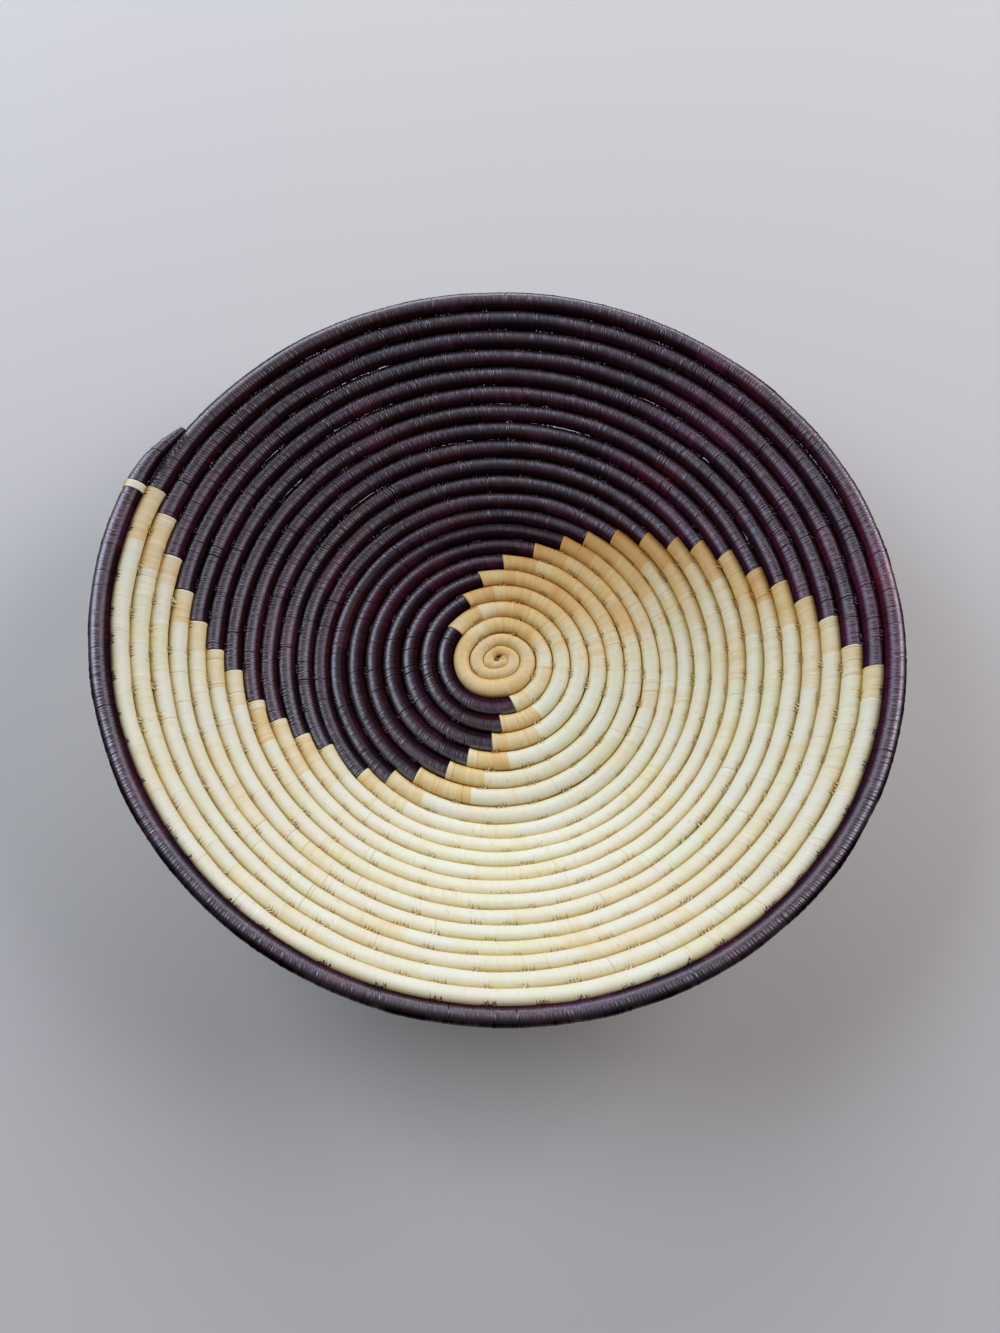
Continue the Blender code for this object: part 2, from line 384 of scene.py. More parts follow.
def wrap_list():
    """Every wrap along the cord: its name, whether it is dark, and the turns where it starts and ends."""
    changes = [("centre_wrap", False, TIP_TURN)]
    for i, (dark, natural) in enumerate(zip(DARK_FROM, NATURAL_FROM)):
        course = FIRST_COURSE + i
        changes.append((f"dark_wrap_{i + 1:02d}", True, turn_at(course, dark)))
        changes.append((f"natural_wrap_{i + 1:02d}", False, turn_at(course, natural)))
    changes.append(("rim_wrap", True, turn_at(*RIM_FROM)))
    changes.append(("rim_tie", False, TIE_TURN))
    changes.append(("rim_tail_wrap", True, TIE_END_TURN))
    ends = [change[2] for change in changes[1:]] + [END_TURN]
    return [(*change, end) for change, end in zip(changes, ends)]


WRAPS = wrap_list()


def strip_edges(start, end):
    """Where strips of uneven width begin, from one distance to another."""
    count = max(int(round((end - start) / STRIP_WIDTH)), 2)
    widths = random.uniform(*STRIP_WIDTH_SHARES, count)
    return start + np.concatenate([[0], np.cumsum(widths)]) / widths.sum() * (end - start)


def strands(edges, dark):
    """Tones, tints, lifts and shown joins for the strips. Each strand covers a stretch of them alike."""
    count = len(edges) - 1
    tones, tints, lifts, joins = (np.zeros(count) for _ in range(4))
    place_along, number = edges[0], 0
    while place_along < edges[-1]:
        at_end = not dark and (number == 0 or edges[-1] - place_along < LAST_STRAND_REACH)
        length = random.uniform(*(END_STRANDS if at_end else STRAND_LENGTHS))
        since = edges[:-1] - place_along
        inside = (since >= 0) & (since < length)
        if at_end:
            tones[inside] = random.uniform(*END_TONES)
        else:
            tones[inside] = min(random.beta(*STRAND_TONES), RIPEST_STRAND)
        tints[inside] = random.normal(0, TINT_SPREAD)
        if random.random() < JOIN_CHANCE:
            lift = np.where(since >= 0, JOIN_LIFT * np.exp(-np.maximum(since, 0) / JOIN_REACH), 0)
            lifts += lift * random.uniform(*JOIN_SHARES)
        joins[np.flatnonzero(inside)[:1]] = random.uniform(0, 1)
        place_along += length
        number += 1
    tones += random.normal(0, TONE_SPREAD, count)
    lifts += random.normal(0, LIFT_SPREADS[1] if dark else LIFT_SPREADS[0], count)
    return tones, tints, lifts, joins


def lay_strips():
    """The strips' edges along the cord, how each strip looks, and the number of each wrap's first strip."""
    edges, looks, firsts = [[0.0]], [], [0]
    for name, dark, start, end in WRAPS:
        own_edges = strip_edges(distance_at(start), distance_at(end))
        tones, tints, lifts, joins = strands(own_edges, dark)
        turn = turn_of(own_edges[:-1])
        heading = -2 * math.pi * turn
        if dark:
            plum = PLUM * np.maximum(np.cos(heading - PLUM_HEADING), 0) ** PLUM_POWER
            tones = tones * DARK_TONE_SHARE + plum
            radius = meridian(turn)[0]
            for right, behind, spread in LIGHT_DYE:
                off = np.hypot(radius * np.cos(heading) - right, radius * np.sin(heading) - behind)
                tones += LIGHT_DYE_TONE * np.exp(-((off / spread) ** 2))
        else:
            # riper towards the right back: partly the strands' tone, partly painted golden shade
            tones += RIPENESS_AND_SHADE * np.maximum(np.cos(heading - RIPE_SHADE_HEADING), 0) ** RIPE_SHADE_POWER
            to_end = np.minimum(own_edges[:-1] - own_edges[0], own_edges[-1] - own_edges[1:])
            lifts += END_LIFT * np.exp(-to_end / END_REACH)
            tones -= PALE_END * (to_end < PALE_END_LENGTH)
        if name == "centre_wrap":
            ripe = np.interp(own_edges[:-1], *zip(*MIDDLE_RIPENESS))
            tones = np.maximum(tones, ripe * random.uniform(*MIDDLE_SHARES, len(tones)))
        if name == "rim_wrap":
            tones += RIM_PLUM
        if name == "rim_tie":
            tones[:] = tints[:] = joins[:] = 0
            lifts[:] = TIE_LIFT
        edges.append(own_edges[1:])
        looks.append([tones, tints, lifts, joins])
        firsts.append(firsts[-1] + len(tones))
    return np.concatenate(edges), np.concatenate(looks, axis=1), firsts


EDGES, (TONES, TINTS, LIFTS, JOINS), FIRSTS = lay_strips()
TONES, TINTS = np.clip(TONES, 0, 1), np.clip(TINTS, -1, 1)
MIDDLES = (EDGES[1:] + EDGES[:-1]) / 2
IS_DARK = np.repeat([dark for _, dark, _, _ in WRAPS], np.diff(FIRSTS))
RIM_FIRST = FIRSTS[[wrap[0] for wrap in WRAPS].index("rim_wrap")]


def stitched_strips():
    """The numbers of the strips that pass through the turn before, in bunches, and the places there."""
    stitched = []
    place_along = distance_at(START_TURN + FIRST_STITCH)
    while place_along < distance_at(TIE_TURN):
        first = int(np.searchsorted(MIDDLES, place_along))
        count = int(random.integers(*BUNCH_STRIPS))
        stitched.extend(range(first, first + count))
        place_along = MIDDLES[first + count] + random.uniform(*BUNCH_STEPS)
    # the tie at the end of the rim is sewn down too
    stitched.append(FIRSTS[-2] - 2)
    stitched = np.array(stitched)
    strip_before = np.searchsorted(EDGES, distance_at(turn_of(MIDDLES[stitched]) - 1)) - 1
    before = MIDDLES[strip_before]
    # a stitch is hard to see where the colour changes, apart from the rim's
    dark_before = IS_DARK[strip_before]
    shown = (dark_before == IS_DARK[stitched]) | (stitched >= RIM_FIRST)
    return stitched[shown], before[shown]


STITCHED, STITCHED_BEFORE = stitched_strips()


def edge_marks():
    """For each edge: how deep it opens all round, towards the turn before and towards the turn after."""
    count = len(EDGES)
    open_share = np.where(np.append(IS_DARK, True), OPEN_EDGES[1], OPEN_EDGES[0])
    opened = np.where(random.random(count) < open_share, OPEN_DEPTH * random.uniform(*OPEN_SHARES, count), 0)
    notched = random.random(count) < NOTCHES * np.append(IS_DARK, False)
    opened = np.where(notched, NOTCH_DEPTH * random.uniform(*OPEN_SHARES, count), opened)
    inner, outer = np.zeros(count), np.zeros(count)
    for step in (0, 1):
        inner[STITCHED + step] = SLIT_DEPTH * random.uniform(*SLIT_SHARES, len(STITCHED))
        beside = np.clip(np.searchsorted(EDGES, STITCHED_BEFORE) - step, 0, count - 1)
        outer[beside] = SLIT_DEPTH * random.uniform(*SLIT_SHARES, len(STITCHED))
    return opened, inner, outer


OPENED, INNER_SLITS, OUTER_SLITS = edge_marks()
SHOWN_EDGES = random.beta(*EDGE_SPREAD, len(EDGES)) + JOIN_SHOWN * np.append(JOINS, 0)
SHOWN_EDGES *= np.where(np.append(IS_DARK, True), EDGE_SHARES[1], EDGE_SHARES[0])
# open edges and notches show as the darkest lines, painted shade in their gaps
SHOWN_EDGES = np.clip(SHOWN_EDGES + (OPENED > 0), 0, 1)
SHOWN_EDGES[RIM_FIRST:] *= RIM_EDGES
SHOWN_EDGES += OPENED / NOTCH_DEPTH


def parting_places():
    """Where on the cord light comes through, and how far along it."""
    courses = random.integers(*PARTING_COURSES, PARTINGS)
    until = np.array(NATURAL_FROM)[courses - FIRST_COURSE] - PARTING_CLEARANCE
    degrees = random.uniform(PARTING_FROM, until)
    return distance_at(turn_at(courses, degrees)), random.uniform(*PARTING_LENGTHS, PARTINGS)


PARTING_PLACES, PARTING_REACHES = parting_places()


def parting(distance):
    """How far the cord draws back from the turn before, where light comes through between them."""
    since = np.abs(np.subtract.outer(distance, PARTING_PLACES)) / PARTING_REACHES
    return PARTING_WIDTH * np.clip(PARTING_FADE[0] - since * PARTING_FADE[1], 0, 1).max(axis=-1)


# Meshes

SEAM_GAP = 1e-7


def new_piece(name, mesh, slot, material, replaced=None):
    """A finished piece of the bowl, in place of a wrap or the core where one is named."""
    piece = bpy.data.objects.new(name, mesh)
    bpy.context.scene.collection.objects.link(piece)
    mesh.materials.append(material)
    mesh.shade_smooth()
    # the sheen runs round the bowl's axis, as the cord does
    mesh.use_auto_texspace = False
    mesh.texspace_location = (AXIS_X, AXIS_Y, 0)
    mesh.texspace_size = (RIM_RADIUS, RIM_RADIUS, RIM_RADIUS)
    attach(piece, "root")
    if replaced:
        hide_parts(replaced)


def store(mesh, name, values):
    """Values for each point, kept on the mesh for its material: numbers or vectors."""
    values = np.asarray(values, np.float32)
    kind, key = ("FLOAT_VECTOR", "vector") if values.ndim == 2 else ("FLOAT", "value")
    mesh.attributes.new(name, kind, "POINT").data.foreach_set(key, values.ravel())


def grid_steps(mesh, rings, sides):
    """The ring and the side that each point of a flat grid of size 1 stands for."""
    flat = np.empty(len(mesh.vertices) * 3, np.float32)
    mesh.vertices.foreach_get("co", flat)
    flat = flat.reshape(-1, 3)
    ring = np.rint((flat[:, 0] + 1) / 2 * (rings - 1)).astype(int)
    side = np.rint((flat[:, 1] + 1) / 2 * sides).astype(int) % sides
    return ring, side


def close_tube(mesh):
    """Joins a rolled grid along its seam and closes its ends."""
    roll = bmesh.new()
    roll.from_mesh(mesh)
    seam = [vertex for vertex in roll.verts if vertex.is_boundary]
    bmesh.ops.remove_doubles(roll, verts=seam, dist=SEAM_GAP)
    bmesh.ops.holes_fill(roll, edges=[edge for edge in roll.edges if edge.is_boundary], sides=0)
    bmesh.ops.recalc_face_normals(roll, faces=roll.faces)
    roll.to_mesh(mesh)
    roll.free()


def rolled_sleeve(name, rings, sides, at):
    """A flat grid rolled round the cord and closed. at() gives its points' places and their values."""
    sheet = bmesh.new()
    bmesh.ops.create_grid(sheet, x_segments=rings - 1, y_segments=sides, size=1)
    mesh = bpy.data.meshes.new(name)
    sheet.to_mesh(mesh)
    sheet.free()
    points, values = at(*grid_steps(mesh, rings, sides))
    mesh.vertices.foreach_set("co", points.astype(np.float32).ravel())
    for key, value in values.items():
        store(mesh, key, value)
    close_tube(mesh)
    return mesh


def wrap_mesh(name, first, last):
    """The strips from first to last as one closed sleeve."""
    shares, bulges = np.array(STRIP_PROFILE).T
    strips = np.repeat(np.arange(first, last), len(shares))
    shares, bulges = np.tile(shares, last - first), np.tile(bulges, last - first)
    at_edge = shares == 0
    widths = EDGES[strips + 1] - EDGES[strips]
    distances = EDGES[strips] + widths * shares
    relief = np.where(IS_DARK[strips], DARK_RELIEF, 1)
    lifts = LIFTS[strips] + bulges * relief - np.where(at_edge, OPENED[strips], 0)
    crowns = np.where(at_edge, 1 - SHOWN_EDGES[strips], 1)
    # both ends dive into the cord
    distances = np.concatenate([[EDGES[first]], distances, [EDGES[last]]])
    lifts = np.concatenate([[-END_DIVE], lifts, [-END_DIVE]])
    crowns = np.concatenate([[0], crowns, [0]])
    strips = np.concatenate([[first], strips, [last - 1]])
    at_edge = np.concatenate([[False], at_edge, [False]])

    def at(ring, side_number):
        around = 2 * math.pi * side_number / CORD_SIDES
        distance, strip = distances[ring], strips[ring]
        flank = np.cos(around)
        inner_slit = INNER_SLITS[strip] * np.clip(-flank * INNER_SLIT_SLOPE[0] - INNER_SLIT_SLOPE[1], 0, 1)
        outer_slit = OUTER_SLITS[strip] * np.clip(flank * OUTER_SLIT_SLOPE[0] - OUTER_SLIT_SLOPE[1], 0, 1)
        slit = np.where(at_edge[ring], inner_slit + outer_slit, 0)
        side, up = section(around, distance, lifts[ring] - slit)
        side = side + parting(distance) * np.clip(-flank * PARTING_FLANK, 0, 1)
        slanted = np.clip(distance - STRIP_SLANT * side, 0, CORD_LENGTH)
        values = {
            "cord": np.stack([distance, side, up], axis=-1),
            "tone": TONES[strip],
            "tint": TINTS[strip],
            # a slit lowers the crown: painted shade
            "crown": np.maximum(crowns[ring] - SLIT_SHADE * slit / SLIT_DEPTH, -1),
        }
        return place(slanted, side, up), values

    return rolled_sleeve(name, len(distances), CORD_SIDES, at)


def many_sheets(name, count, stations, corners):
    """So many flat grids of size 1 in one mesh, and the station and corner that each point stands for."""
    sheet = bmesh.new()
    bmesh.ops.create_grid(sheet, x_segments=stations - 1, y_segments=corners, size=1)
    mesh = bpy.data.meshes.new(name)
    sheet.to_mesh(mesh)
    for _ in range(count - 1):
        sheet.from_mesh(mesh)
    station, corner = grid_steps(mesh, stations, corners)
    sheet.to_mesh(mesh)
    sheet.free()
    return mesh, np.tile(station, count), np.tile(corner, count), len(station)


def bands_mesh(name, strips, before, path, thickness, width, tone=None):
    """A band over the groove for each strip given, from its own turn to its place on the turn before."""
    count = len(strips)
    mesh, station, corner, points = many_sheets(name, count, len(path), len(STITCH_SECTION))
    strip, before = np.repeat(strips, points), np.repeat(before, points)
    skew = np.repeat(random.normal(0, STITCH_SKEW, count), points)
    raised = np.repeat(random.uniform(*STITCH_RISE, count), points)
    reach_on = np.repeat(random.normal(0, STITCH_REACH_DEGREES, count), points)
    toned = np.repeat(random.normal(0, STITCH_TONE_SPREAD, count), points)
    on_before, degrees, heights = (column[station] for column in np.array(path).T)
    across, depth = (column[corner] for column in np.array(STITCH_SECTION).T)
    across = across * (EDGES[strip + 1] - EDGES[strip]) * np.repeat(width, points)
    distance = np.where(on_before > 0, before, MIDDLES[strip]) + across + skew * station / (len(path) - 1)
    lift = (heights * raised + depth) * thickness + LIFTS[strip]
    side, up = section(np.radians(degrees + reach_on * on_before), distance, lift)
    slanted = np.clip(distance + STRIP_SLANT * HALF_WIDTH * (1 - 2 * on_before), 0, CORD_LENGTH)
    mesh.vertices.foreach_set("co", place(slanted, side, up).astype(np.float32).ravel())
    store(mesh, "cord", np.stack([MIDDLES[strip] + across, side, up], axis=-1))
    shaded = np.clip(TONES[strip] + toned + STITCH_SHADE, 0, 1)
    store(mesh, "tone", shaded if tone is None else np.full(len(strip), tone))
    store(mesh, "tint", TINTS[strip])
    store(mesh, "crown", np.where(depth < -0.5, *STITCH_CROWNS))
    close_tube(mesh)
    return mesh


def fibres_mesh(name, strips):
    """A loose fibre on each strip given: a thin tapering tube that leaves the wraps at a slant."""
    count = len(strips)
    mesh, station, corner, points = many_sheets(name, count, FIBRE_STATIONS, FIBRE_SIDES)
    strip = np.repeat(strips, points)
    share = station / (FIBRE_STATIONS - 1)
    start = random.uniform(*FIBRE_STARTS, count)
    sweep = random.normal(0, 1, count)
    along = random.normal(0, 1, count)
    length = random.uniform(*FIBRE_LENGTHS, count) / np.hypot(sweep, along)
    sweep, along, start = (np.repeat(each, points) for each in (sweep * length, along * length, start))
    rise = np.repeat(random.uniform(*FIBRE_RISE, count), points)
    radius = FIBRE_THICKNESS * (1 - FIBRE_TAPER * share)
    round_it = 2 * math.pi * corner / FIBRE_SIDES
    distance = MIDDLES[strip] + along * share + radius * np.cos(round_it)
    lift = rise * share ** FIBRE_CURVE - FIBRE_THICKNESS + radius * np.sin(round_it)
    side, up = section(np.radians(start) + sweep * share / HALF_WIDTH, distance, lift)
    mesh.vertices.foreach_set("co", place(distance, side, up).astype(np.float32).ravel())
    store(mesh, "cord", np.stack([distance, side, up], axis=-1))
    store(mesh, "tone", TONES[strip])
    store(mesh, "tint", TINTS[strip])
    store(mesh, "crown", np.ones(len(strip)))
    close_tube(mesh)
    return mesh


def core_mesh(name):
    """The bundle of stalks inside the wraps, as one lobed cord."""
    rings = int(CORD_LENGTH / CORE_STEP)
    distances = np.linspace(CORE_START, CORD_LENGTH - CORE_STEP, rings)

    def at(ring, side_number):
        around = 2 * math.pi * side_number / CORE_SIDES
        distance = distances[ring]
        girth = thickness_share(turn_of(distance)) * CORE_GIRTH * HALF_THICKNESS
        lobe = np.cos(CORE_LOBES * around)
        girth = girth * (1 + CORE_LOBE_DEPTH * lobe)
        side, up = girth * np.cos(around), girth * np.sin(around)
        values = {"cord": np.stack([distance, side, up], axis=-1), "tone": lobe}
        return place(distance, side, up), values

    return rolled_sleeve(name, rings, CORE_SIDES, at)


def knot_mesh(name):
    """The first strips, knotted under the whorl: a low dome that closes the bottom of the eye."""
    low, high = KNOT_HEIGHTS
    dome = bmesh.new()
    bmesh.ops.create_uvsphere(dome, u_segments=KNOT_SEGMENTS[0], v_segments=KNOT_SEGMENTS[1], radius=1)
    half_height = (high - low) / 2
    bmesh.ops.scale(dome, vec=(KNOT_RADIUS * (1 + WHORL_STRETCH), KNOT_RADIUS, half_height), verts=dome.verts)
    bmesh.ops.rotate(dome, cent=(0, 0, 0), matrix=Matrix.Rotation(WHORL_HEADING, 3, "Z"), verts=dome.verts)
    bmesh.ops.translate(dome, vec=(AXIS_X, AXIS_Y, low + half_height), verts=dome.verts)
    mesh = bpy.data.meshes.new(name)
    dome.to_mesh(mesh)
    points = np.array([vertex.co[:] for vertex in dome.verts])
    dome.free()
    store(mesh, "cord", points - (AXIS_X, AXIS_Y, 0))
    store(mesh, "tone", np.full(len(points), KNOT_TONE))
    store(mesh, "tint", np.zeros(len(points)))
    store(mesh, "crown", np.full(len(points), KNOT_CROWN))
    return mesh


# Materials


class Wire:
    """A shader value. Sums and products of wires add their Math nodes."""

    def __init__(self, finish, socket):
        self.finish = finish
        self.socket = socket

    def maths(self, operation, left, right):
        return self.finish.add("ShaderNodeMath", {"operation": operation}, {0: left, 1: right})

    def __add__(self, other):
        return self.maths("ADD", self, other)

    def __sub__(self, other):
        return self.maths("SUBTRACT", self, other)

    def __rsub__(self, other):
        return self.maths("SUBTRACT", other, self)

    def __mul__(self, other):
        return self.maths("MULTIPLY", self, other)

    def highest(self, other):
        return self.maths("MAXIMUM", self, other)

    __radd__ = __add__
    __rmul__ = __mul__


class Finish:
    """One material and its nodes."""

    def __init__(self, name):
        self.material = bpy.data.materials.new(name)
        self.material.use_nodes = True
        self.tree = self.material.node_tree
        self.shader = self.tree.nodes["Principled BSDF"]

    def connect(self, value, socket):
        if isinstance(value, Wire):
            self.tree.links.new(value.socket, socket)
        else:
            socket.default_value = value

    def add(self, kind, settings, sockets, output=0):
        """Any node: its settings first, then the values or wires of its sockets."""
        node = self.tree.nodes.new(kind)
        for key, value in settings.items():
            if key == "stops":
                self.set_stops(node.color_ramp, value)
            else:
                setattr(node, key, value)
        for key, value in sockets.items():
            self.connect(value, node.inputs[key])
        return Wire(self, node.outputs[output])

    def set_stops(self, ramp, stops):
        while len(ramp.elements) < len(stops):
            ramp.elements.new(1)
        for element, (position, colour) in zip(ramp.elements, stops):
            element.position = position
            element.color = (*colour, 1)

    def attribute(self, name, output="Fac"):
        return self.add("ShaderNodeAttribute", {"attribute_name": name}, {}, output)

    def noise(self, along, around, detail):
        """Noise on the straightened cord, with so many grains to the metre along it and around it."""
        cord = self.attribute("cord", "Vector")
        grains = (along, around, around)
        scaled = self.add("ShaderNodeVectorMath", {"operation": "MULTIPLY"}, {0: cord, 1: grains})
        return self.add("ShaderNodeTexNoise", {}, {"Vector": scaled, "Scale": 1.0, "Detail": detail})

    def ramp(self, value, stops):
        return self.add("ShaderNodeValToRGB", {"stops": stops}, {"Fac": value})

    def mix(self, blend, factor, colour, other):
        # inputs 6 and 7 and output 2 are the colours of this node
        settings = {"data_type": "RGBA", "blend_type": blend}
        return self.add("ShaderNodeMix", settings, {"Factor": factor, 6: colour, 7: other}, 2)

    def across(self):
        """0 in the groove towards the bowl's middle, 0.5 on the crest, 1 in the groove towards the rim."""
        cord = self.attribute("cord", "Vector")
        side = self.add("ShaderNodeSeparateXYZ", {}, {0: cord}, 1)
        return side * (0.5 / HALF_WIDTH) + 0.5

    def from_outside(self):
        """0 on the cord's face outside the bowl, 1 on its face inside the bowl."""
        cord = self.attribute("cord", "Vector")
        up = self.add("ShaderNodeSeparateXYZ", {}, {0: cord}, 2)
        return up * (0.5 / HALF_THICKNESS) + 0.5

    def set(self, **sockets):
        for key, value in sockets.items():
            self.connect(value, self.shader.inputs[key.replace("_", " ")])

    def dull(self, share, colour):
        """Where share is 1, the surface is dull and of this colour, without the shader's gloss."""
        plain = self.add("ShaderNodeBsdfDiffuse", {}, {"Color": colour})
        glossy = Wire(self, self.shader.outputs["BSDF"])
        blend = self.add("ShaderNodeMixShader", {}, {0: share, 1: glossy, 2: plain})
        self.connect(blend, self.tree.nodes["Material Output"].inputs["Surface"])


def natural_raffia():
    """Undyed strips from pale cream to ripe tan, with painted golden shade in the grooves and fibres along
    each strip.
    """
    finish = Finish("natural_raffia")
    tone, tint, crown = finish.attribute("tone"), finish.attribute("tint"), finish.attribute("crown")
    patches, fibres, flecks = finish.noise(90, 110, 2), finish.noise(1500, 220, 3), finish.noise(420, 300, 1)
    mixed = tone * 0.9 + (patches - 0.5) * 0.4 + (fibres - 0.5) * 0.2
    colour = finish.ramp(
        mixed,
        (
            (0.0, (0.86, 0.87, 0.75)),
            (0.24, (0.86, 0.82, 0.61)),
            (0.6, (0.80, 0.58, 0.26)),
            (1.0, (0.68, 0.36, 0.11)),
        ),
    )
    hue = finish.ramp(tint * 0.5 + 0.5, ((0.0, (0.92, 1, 0.80)), (0.5, (1, 1, 1)), (1.0, (1, 0.91, 0.82))))
    colour = finish.mix("MULTIPLY", 0.4, colour, hue)
    # painted shade: golden and darker towards the grooves on both sides of the cord
    painted_groove_shade = (
        (0.005, (0.36, 0.26, 0.09)),
        (0.04, (0.80, 0.67, 0.40)),
        (0.1, (0.93, 0.87, 0.70)),
        (0.3, (1, 1, 1)),
        (0.7, (1, 1, 1)),
        (0.9, (0.93, 0.87, 0.70)),
        (0.96, (0.80, 0.67, 0.40)),
        (0.995, (0.36, 0.26, 0.09)),
    )
    colour = finish.mix("MULTIPLY", 1.0, colour, finish.ramp(finish.across(), painted_groove_shade))
    fleck = finish.ramp(flecks, ((0.68, (0, 0, 0)), (0.76, (1, 1, 1))))
    colour = finish.mix("MIX", fleck * 0.25, colour, (0.62, 0.30, 0.09, 1))
    # dark lines where the crown is low: partly dark joints between strips, partly painted shade in open
    # edges, notches, slits and beside stitches
    lines = ((0.0, (0.08, 0.04, 0.015)), (0.5, (0.78, 0.68, 0.52)), (0.97, (1, 1, 1)))
    colour = finish.mix("MULTIPLY", 1.0, colour, finish.ramp(crown * 0.5 + 0.5, lines))
    bump = finish.add("ShaderNodeBump", {}, {"Strength": 0.4, "Distance": 0.00015, "Height": fibres})
    finish.set(Base_Color=colour, Roughness=0.5 + (fibres - 0.5) * 0.3, Normal=bump)
    return finish.material


def dyed_raffia():
    """Aubergine strips, some of them plum or red, satin on their crests."""
    finish = Finish("dyed_raffia")
    tone, tint, crown = finish.attribute("tone"), finish.attribute("tint"), finish.attribute("crown")
    patches, fibres = finish.noise(60, 90, 2), finish.noise(1500, 200, 4)
    mixed = tone * 0.8 + (patches - 0.5) * 0.7 + (fibres - 0.5) * 0.4
    colour = finish.ramp(
        mixed,
        (
            (0.0, (0.022, 0.010, 0.015)),
            (0.4, (0.046, 0.014, 0.029)),
            (0.75, (0.095, 0.022, 0.055)),
            (1.0, (0.165, 0.030, 0.078)),
        ),
    )
    hues = ((0.0, (0.72, 0.85, 1)), (0.5, (0.95, 0.9, 0.9)), (1.0, (1, 0.7, 0.55)))
    hue = finish.ramp(tint * 0.5 + 0.5, hues)
    colour = finish.mix("MULTIPLY", 1.0, colour, hue)
    # dark lines where the crown is low: partly dark joints between strips, partly painted shade in open
    # edges, notches, slits and beside stitches
    lines = ((0.0, (0.08, 0.06, 0.06)), (0.5, (0.45, 0.38, 0.38)), (0.97, (1, 1, 1)))
    colour = finish.mix("MULTIPLY", 1.0, colour, finish.ramp(crown * 0.5 + 0.5, lines))
    # painted shade darkens the grooves, widest on the side towards the bowl's middle
    across = finish.across()
    painted_groove_shade = (
        (0.03, (0.2, 0.12, 0.12)),
        (0.2, (0.7, 0.62, 0.62)),
        (0.45, (1, 1, 1)),
        (0.93, (1, 1, 1)),
        (0.99, (0.2, 0.12, 0.12)),
    )
    colour = finish.mix("MULTIPLY", 1.0, colour, finish.ramp(across, painted_groove_shade))
    # the side that faces the bowl's middle is rubbed dull, and open edges and stitches are dull too
    rubbed = ((0.34, (1, 1, 1)), (0.74, (0, 0, 0)), (0.9, (0, 0, 0)), (1.0, (1, 1, 1)))
    split = ((0.5, (1, 1, 1)), (0.97, (0, 0, 0)))
    parted = finish.ramp(crown * 0.5 + 0.5, split)
    # and so is the cord's face outside the bowl
    outside = finish.ramp(finish.from_outside(), ((0.3, (0.8, 0.8, 0.8)), (0.5, (0, 0, 0))))
    finish.dull(finish.ramp(across, rubbed).highest(parted).highest(outside), colour)
    bump = finish.add("ShaderNodeBump", {}, {"Strength": 0.6, "Distance": 0.00025, "Height": fibres})
    finish.set(
        Base_Color=colour,
        Roughness=0.42 + (fibres - 0.5) * 0.4,
        Specular_IOR_Level=1.0,
        Specular_Tint=(0.87, 0.86, 1.0, 1),
        IOR=1.85,
        Anisotropic=0.25,
        Normal=bump,
    )
    return finish.material


def core_fibre():
    """Dry stalks, with painted shade between one and the next."""
    finish = Finish("core_fibre")
    stalk = finish.attribute("tone")
    streaks = finish.noise(60, 2600, 3)
    # the lobe value darkens the colour between stalks: painted shade
    colour = finish.ramp(streaks + stalk * 0.15, ((0.3, (0.22, 0.15, 0.07)), (0.7, (0.48, 0.36, 0.18))))
    bump = finish.add("ShaderNodeBump", {}, {"Strength": 0.5, "Distance": 0.0003, "Height": streaks})
    finish.set(Base_Color=colour, Roughness=0.8, Normal=bump)
    return finish.material


natural, dyed = natural_raffia(), dyed_raffia()
SLOTS = {True: ("dyed_raffia", dyed), False: ("natural_raffia", natural)}

# The wraps, their stitches and loose fibres, the lacing, the knot and the core

for number, (wrap_name, is_dark, _, _) in enumerate(WRAPS):
    sleeve = wrap_mesh(wrap_name, FIRSTS[number], FIRSTS[number + 1])
    new_piece(wrap_name + "_strips", sleeve, *SLOTS[is_dark], wrap_name)

for is_dark, word in ((True, "dark"), (False, "natural")):
    chosen = IS_DARK[STITCHED] == is_dark
    for face, stitch_path in (("inside", INSIDE_PATH), ("outside", OUTSIDE_PATH)):
        piece_name = f"{word}_stitches_{face}"
        own, before = STITCHED[chosen], STITCHED_BEFORE[chosen]
        widths = np.where(own < RIM_FIRST, STITCH_WIDTH, RIM_STITCH_WIDTH)
        bands = bands_mesh(piece_name, own, before, stitch_path, STITCH_THICKNESS, widths)
        new_piece(piece_name, bands, *SLOTS[is_dark])
    fibre_strips = random.choice(np.flatnonzero(IS_DARK == is_dark), FIBRES, replace=False)
    new_piece(f"{word}_fibres", fibres_mesh(f"{word}_fibres", fibre_strips), *SLOTS[is_dark])

lace_start = distance_at(TIE_END_TURN + LACE_FROM * (END_TURN - TIE_END_TURN))
lace_strips = np.flatnonzero(MIDDLES > lace_start)[:-1]
lace_before = distance_at(turn_of(MIDDLES[lace_strips]) - 1)
# the lacing, and under it a flat black band that paints the groove's shade
for piece_name, lace_path, lace_width in (
    ("tail_lacing", LACE_PATH, LACE_WIDTH),
    ("tail_lacing_shade_band", LACE_SHADE_BAND, LACE_SHADE_BAND_WIDTH),
):
    lace_widths = np.full(len(lace_strips), lace_width)
    lace = bands_mesh(piece_name, lace_strips, lace_before, lace_path, LACE_THICKNESS, lace_widths, tone=0)
    new_piece(piece_name, lace, *SLOTS[True])
new_piece("centre_knot", knot_mesh("centre_knot"), *SLOTS[False])

new_piece("core_stalks", core_mesh("core_stalks"), "core_fibre", core_fibre(), "core_bundle")

# Stage, light and camera

FLOOR_HALF_SIZE = 3
ROOM_LIGHT = 0.1
ROOM_SEEN = 0.5

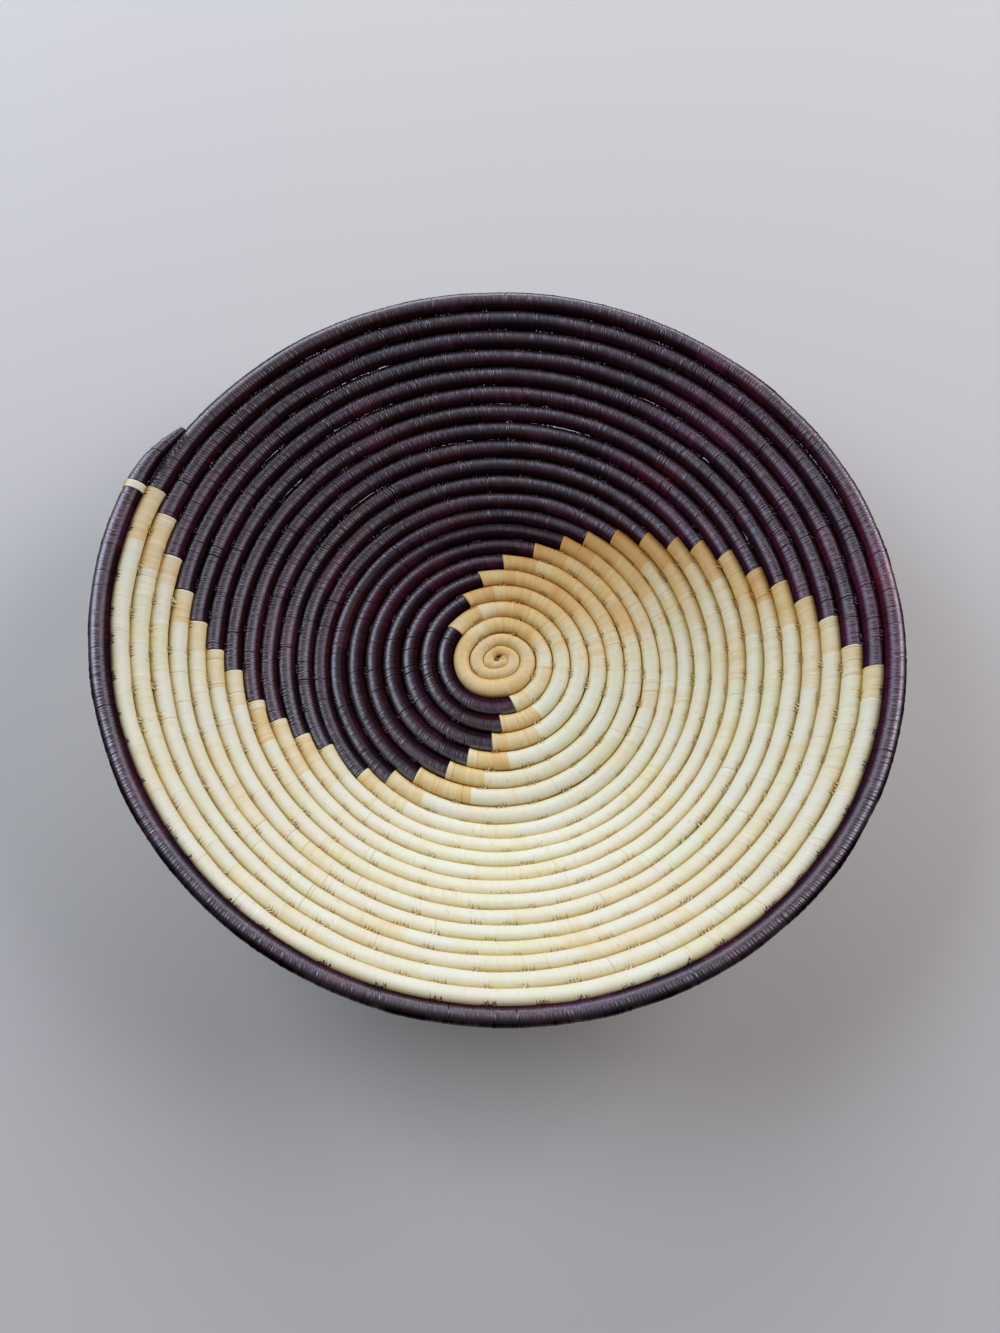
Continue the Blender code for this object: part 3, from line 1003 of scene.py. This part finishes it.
floor_mesh = bpy.data.meshes.new("floor")
slab = bmesh.new()
bmesh.ops.create_grid(slab, x_segments=1, y_segments=1, size=FLOOR_HALF_SIZE)
slab.to_mesh(floor_mesh)
slab.free()
floor = bpy.data.objects.new("floor", floor_mesh)
bpy.context.scene.collection.objects.link(floor)
paper = Finish("pale_floor")
paper.set(Base_Color=(0.62, 0.62, 0.63, 1), Roughness=0.8)
floor_mesh.materials.append(paper.material)


def area_light(name, location, size, power, colour):
    """A soft lamp that faces the bowl."""
    lamp = bpy.data.lights.new(name, "AREA")
    lamp.shape = "RECTANGLE"
    lamp.size, lamp.size_y = size
    lamp.energy = power
    lamp.color = colour
    holder = bpy.data.objects.new(name, lamp)
    holder.location = location
    holder.rotation_euler = (-Vector(location)).to_track_quat("-Z", "Y").to_euler()
    bpy.context.scene.collection.objects.link(holder)


area_light("window", (-0.1, 1.5, 0.66), (1.2, 0.6), 10, (0.98, 0.98, 1.0))
area_light("west_wall", (-1.1, 0.5, 0.95), (1.1, 0.9), 14.5, (0.84, 0.89, 1.0))
area_light("east_wall", (1.2, 0.45, 0.92), (1.1, 0.9), 14, (1.0, 0.94, 0.97))

world = bpy.data.worlds.new("room")
bpy.context.scene.world = world
world.use_nodes = True
background = world.node_tree.nodes["Background"]
background.inputs["Color"].default_value = (0.95, 0.90, 0.88, 1)
# seen straight by the camera, the room is as pale as the floor
ray_kind = world.node_tree.nodes.new("ShaderNodeLightPath")
brightness = world.node_tree.nodes.new("ShaderNodeMapRange")
brightness.inputs["To Min"].default_value = ROOM_LIGHT
brightness.inputs["To Max"].default_value = ROOM_SEEN
world.node_tree.links.new(ray_kind.outputs["Is Camera Ray"], brightness.inputs["Value"])
world.node_tree.links.new(brightness.outputs["Result"], background.inputs["Strength"])

# The camera stands south of the bowl, at the photograph's place and turn, worked out from its coils
CAMERA_DISTANCE = 0.4636
CAMERA_ELEVATION = math.radians(68.13)
CAMERA_ROLL = math.radians(1.27)
LENS_PIXELS = 1040
FRAME_HEIGHT = 1333
BASE_OFF_CENTRE = (-1.94, 6.18)  # pixels right of and above the picture's centre

camera_data = bpy.data.cameras.new("camera")
camera_data.lens = LENS_PIXELS * camera_data.sensor_width / FRAME_HEIGHT
camera = bpy.data.objects.new("camera", camera_data)
bpy.context.scene.collection.objects.link(camera)
bpy.context.scene.camera = camera
base_centre = Vector((AXIS_X, AXIS_Y, REST_HEIGHT))
back = Vector((0, -math.cos(CAMERA_ELEVATION), math.sin(CAMERA_ELEVATION)))
over = Vector((0, math.sin(CAMERA_ELEVATION), math.cos(CAMERA_ELEVATION)))
right = Vector((1, 0, 0))
off_right, off_up = BASE_OFF_CENTRE
forward = (-back - right * off_right / LENS_PIXELS - over * off_up / LENS_PIXELS).normalized()
level_x = (right - forward * right.dot(forward)).normalized()
level_y = level_x.cross(forward)
camera_x = level_x * math.cos(CAMERA_ROLL) + level_y * math.sin(CAMERA_ROLL)
camera_y = level_y * math.cos(CAMERA_ROLL) - level_x * math.sin(CAMERA_ROLL)
turned = Matrix((camera_x, camera_y, -forward)).transposed()
camera.matrix_world = Matrix.Translation(base_centre + back * CAMERA_DISTANCE) @ turned.to_4x4()

bpy.context.scene.view_settings.view_transform = "Standard"
